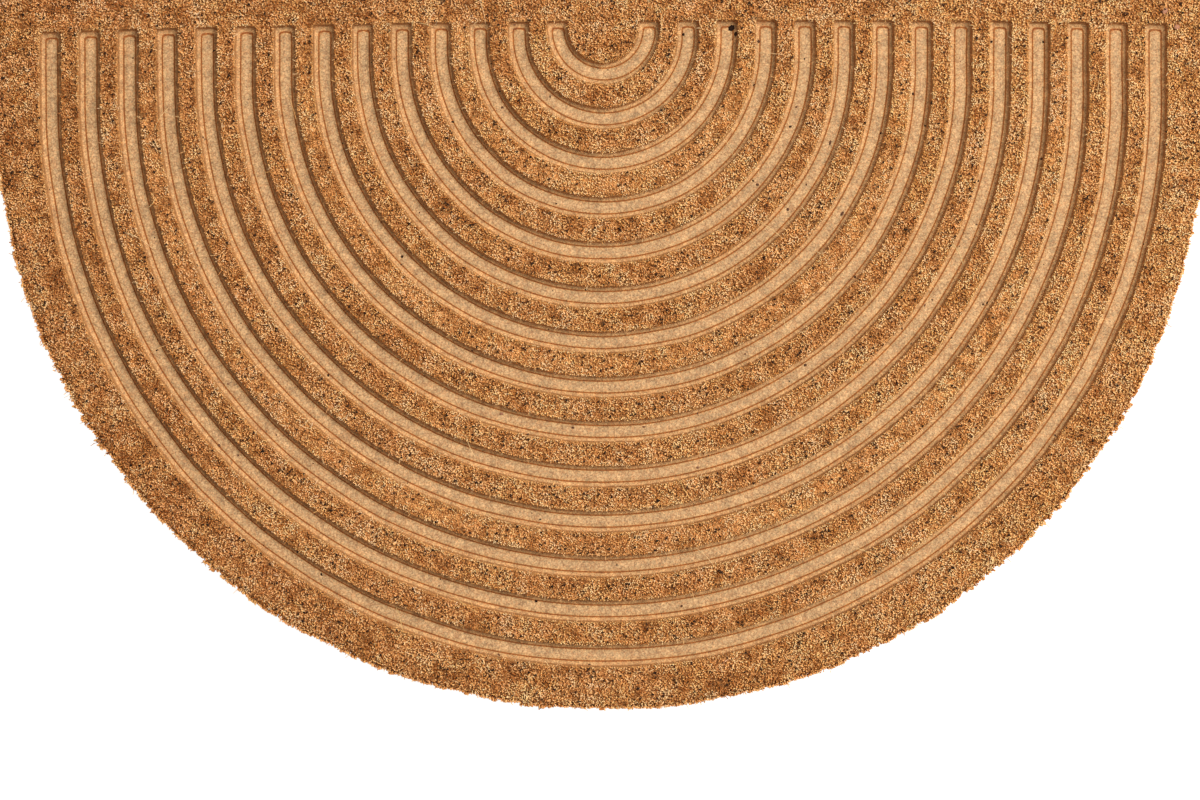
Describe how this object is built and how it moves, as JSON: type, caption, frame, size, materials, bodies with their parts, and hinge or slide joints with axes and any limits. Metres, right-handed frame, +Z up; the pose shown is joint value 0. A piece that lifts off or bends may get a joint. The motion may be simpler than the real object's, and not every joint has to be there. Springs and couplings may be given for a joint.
{
  "type": "coir doormat",
  "caption": "Half-moon doormat of natural coir, with nested arc channels pressed into its short pile, a round front edge and a straight back edge.",
  "frame": {"origin": "centre of the flat underside, under the middle of the mat's outline box", "axes": "+X along the straight edge, +Y from the round edge towards the straight edge, +Z up out of the pile"},
  "size_m": [0.75, 0.449, 0.016],
  "materials": {
    "coir": "short cut coir pile, matte, with smooth heat-pressed channel floors"
  },
  "bodies": {
    "root": {"coir_mat": "coir"}
  },
  "joints": []
}
